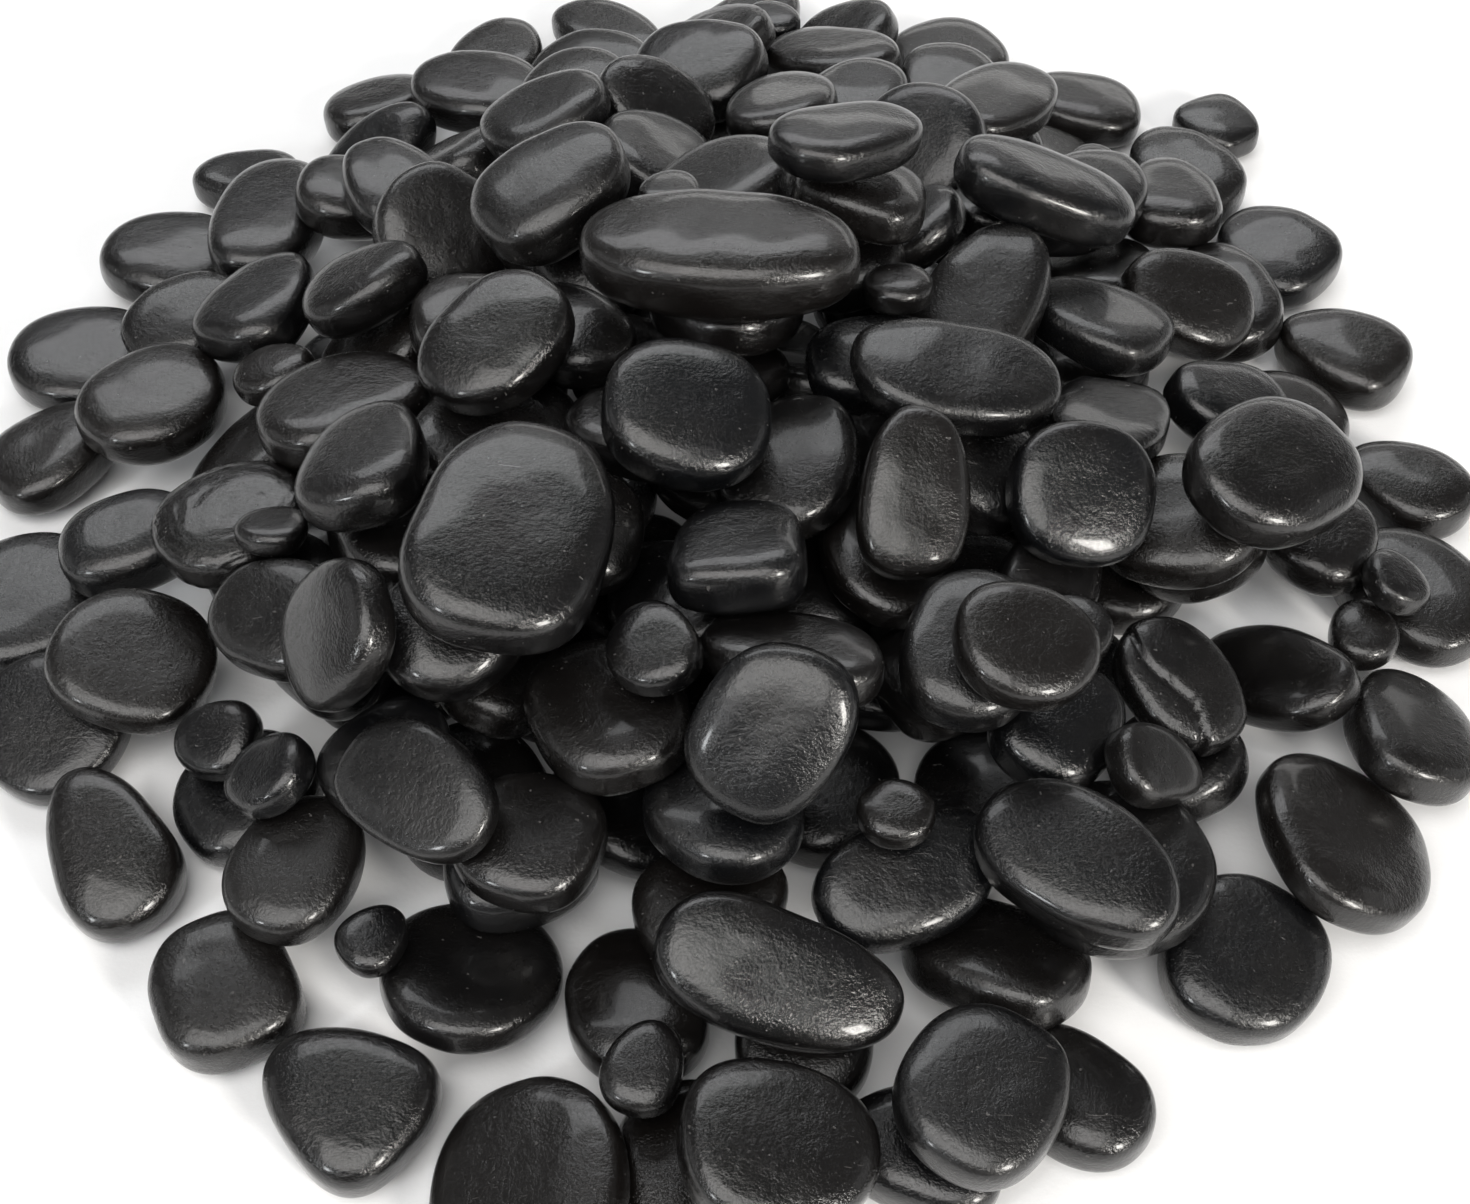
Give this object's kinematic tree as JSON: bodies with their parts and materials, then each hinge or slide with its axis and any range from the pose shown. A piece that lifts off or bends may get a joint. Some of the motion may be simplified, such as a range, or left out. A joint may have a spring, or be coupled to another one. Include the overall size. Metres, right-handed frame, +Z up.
{
  "type": "heap of basalt massage stones",
  "caption": "Low round mound of polished near-black basalt massage stones: a bed of flattened pebbles joined in clumps, with loose stones on top and at the rim that lift off.",
  "frame": {"origin": "middle of the heap's box on the surface it stands on", "axes": "+Z up from that surface, +Y from the heap's front towards its back along its longer side, +X to its right seen from the front"},
  "size_m": [0.4506, 0.5038, 0.1103],
  "materials": {
    "polished_basalt": "near-black, tumbled and waxed to a satin polish"
  },
  "bodies": {
    "stone_bed": {"core_clump_01": "polished_basalt", "core_clump_02": "polished_basalt", "core_clump_03": "polished_basalt", "core_clump_04": "polished_basalt", "core_clump_05": "polished_basalt", "crown_clump_01": "polished_basalt", "crown_clump_02": "polished_basalt", "crown_clump_03": "polished_basalt", "crown_clump_04": "polished_basalt", "crown_clump_05": "polished_basalt", "crown_clump_06": "polished_basalt", "flank_clump_01": "polished_basalt", "flank_clump_02": "polished_basalt", "flank_clump_03": "polished_basalt", "flank_clump_04": "polished_basalt", "flank_clump_05": "polished_basalt", "flank_clump_06": "polished_basalt", "flank_clump_07": "polished_basalt", "flank_clump_08": "polished_basalt", "flank_clump_09": "polished_basalt", "flank_clump_10": "polished_basalt", "flank_clump_11": "polished_basalt", "foot_clump_01": "polished_basalt", "foot_clump_02": "polished_basalt", "foot_clump_03": "polished_basalt", "foot_clump_04": "polished_basalt", "foot_clump_05": "polished_basalt", "foot_clump_06": "polished_basalt", "foot_clump_07": "polished_basalt", "foot_clump_08": "polished_basalt", "foot_clump_09": "polished_basalt", "foot_clump_10": "polished_basalt", "foot_clump_11": "polished_basalt", "foot_clump_12": "polished_basalt", "foot_clump_13": "polished_basalt"},
    "back_left_stone_body": {"back_left_stone": "polished_basalt"},
    "back_right_lone_stone_body": {"back_right_lone_stone": "polished_basalt"},
    "back_slant_stone_body": {"back_slant_stone": "polished_basalt"},
    "brow_stone_body": {"brow_stone": "polished_basalt"},
    "centre_pillar_stone_body": {"centre_pillar_stone": "polished_basalt"},
    "centre_round_stone_body": {"centre_round_stone": "polished_basalt"},
    "centre_square_stone_body": {"centre_square_stone": "polished_basalt"},
    "crest_bean_stone_body": {"crest_bean_stone": "polished_basalt"},
    "crest_long_stone_body": {"crest_long_stone": "polished_basalt"},
    "crest_slope_stone_body": {"crest_slope_stone": "polished_basalt"},
    "front_bean_stone_body": {"front_bean_stone": "polished_basalt"},
    "front_left_round_stone_body": {"front_left_round_stone": "polished_basalt"},
    "front_middle_stone_body": {"front_middle_stone": "polished_basalt"},
    "front_oval_stone_body": {"front_oval_stone": "polished_basalt"},
    "front_right_round_stone_body": {"front_right_round_stone": "polished_basalt"},
    "left_egg_stone_body": {"left_egg_stone": "polished_basalt"},
    "left_lower_stone_body": {"left_lower_stone": "polished_basalt"},
    "left_slant_stone_body": {"left_slant_stone": "polished_basalt"},
    "left_slope_stone_body": {"left_slope_stone": "polished_basalt"},
    "right_front_stone_body": {"right_front_stone": "polished_basalt"},
    "right_high_stone_body": {"right_high_stone": "polished_basalt"},
    "right_round_stone_body": {"right_round_stone": "polished_basalt"}
  },
  "joints": [
    {"name": "back_left_stone_lift", "type": "slide", "parent": "stone_bed", "child": "back_left_stone_body", "axis": [0, 0, 1], "range_m": [0, 0.1]},
    {"name": "back_right_lone_stone_lift", "type": "slide", "parent": "stone_bed", "child": "back_right_lone_stone_body", "axis": [0, 0, 1], "range_m": [0, 0.1]},
    {"name": "back_slant_stone_lift", "type": "slide", "parent": "stone_bed", "child": "back_slant_stone_body", "axis": [0, 0, 1], "range_m": [0, 0.1]},
    {"name": "brow_stone_lift", "type": "slide", "parent": "stone_bed", "child": "brow_stone_body", "axis": [0, 0, 1], "range_m": [0, 0.1]},
    {"name": "centre_pillar_stone_lift", "type": "slide", "parent": "stone_bed", "child": "centre_pillar_stone_body", "axis": [0, 0, 1], "range_m": [0, 0.1]},
    {"name": "centre_round_stone_lift", "type": "slide", "parent": "stone_bed", "child": "centre_round_stone_body", "axis": [0, 0, 1], "range_m": [0, 0.1]},
    {"name": "centre_square_stone_lift", "type": "slide", "parent": "stone_bed", "child": "centre_square_stone_body", "axis": [0, 0, 1], "range_m": [0, 0.1]},
    {"name": "crest_bean_stone_lift", "type": "slide", "parent": "stone_bed", "child": "crest_bean_stone_body", "axis": [0, 0, 1], "range_m": [0, 0.1]},
    {"name": "crest_long_stone_lift", "type": "slide", "parent": "stone_bed", "child": "crest_long_stone_body", "axis": [0, 0, 1], "range_m": [0, 0.1]},
    {"name": "crest_slope_stone_lift", "type": "slide", "parent": "stone_bed", "child": "crest_slope_stone_body", "axis": [0, 0, 1], "range_m": [0, 0.1]},
    {"name": "front_bean_stone_lift", "type": "slide", "parent": "stone_bed", "child": "front_bean_stone_body", "axis": [0, 0, 1], "range_m": [0, 0.1]},
    {"name": "front_left_round_stone_lift", "type": "slide", "parent": "stone_bed", "child": "front_left_round_stone_body", "axis": [0, 0, 1], "range_m": [0, 0.1]},
    {"name": "front_middle_stone_lift", "type": "slide", "parent": "stone_bed", "child": "front_middle_stone_body", "axis": [0, 0, 1], "range_m": [0, 0.1]},
    {"name": "front_oval_stone_lift", "type": "slide", "parent": "stone_bed", "child": "front_oval_stone_body", "axis": [0, 0, 1], "range_m": [0, 0.1]},
    {"name": "front_right_round_stone_lift", "type": "slide", "parent": "stone_bed", "child": "front_right_round_stone_body", "axis": [0, 0, 1], "range_m": [0, 0.1]},
    {"name": "left_egg_stone_lift", "type": "slide", "parent": "stone_bed", "child": "left_egg_stone_body", "axis": [0, 0, 1], "range_m": [0, 0.1]},
    {"name": "left_lower_stone_lift", "type": "slide", "parent": "stone_bed", "child": "left_lower_stone_body", "axis": [0, 0, 1], "range_m": [0, 0.1]},
    {"name": "left_slant_stone_lift", "type": "slide", "parent": "stone_bed", "child": "left_slant_stone_body", "axis": [0, 0, 1], "range_m": [0, 0.1]},
    {"name": "left_slope_stone_lift", "type": "slide", "parent": "stone_bed", "child": "left_slope_stone_body", "axis": [0, 0, 1], "range_m": [0, 0.1]},
    {"name": "right_front_stone_lift", "type": "slide", "parent": "stone_bed", "child": "right_front_stone_body", "axis": [0, 0, 1], "range_m": [0, 0.1]},
    {"name": "right_high_stone_lift", "type": "slide", "parent": "stone_bed", "child": "right_high_stone_body", "axis": [0, 0, 1], "range_m": [0, 0.1]},
    {"name": "right_round_stone_lift", "type": "slide", "parent": "stone_bed", "child": "right_round_stone_body", "axis": [0, 0, 1], "range_m": [0, 0.1]}
  ]
}
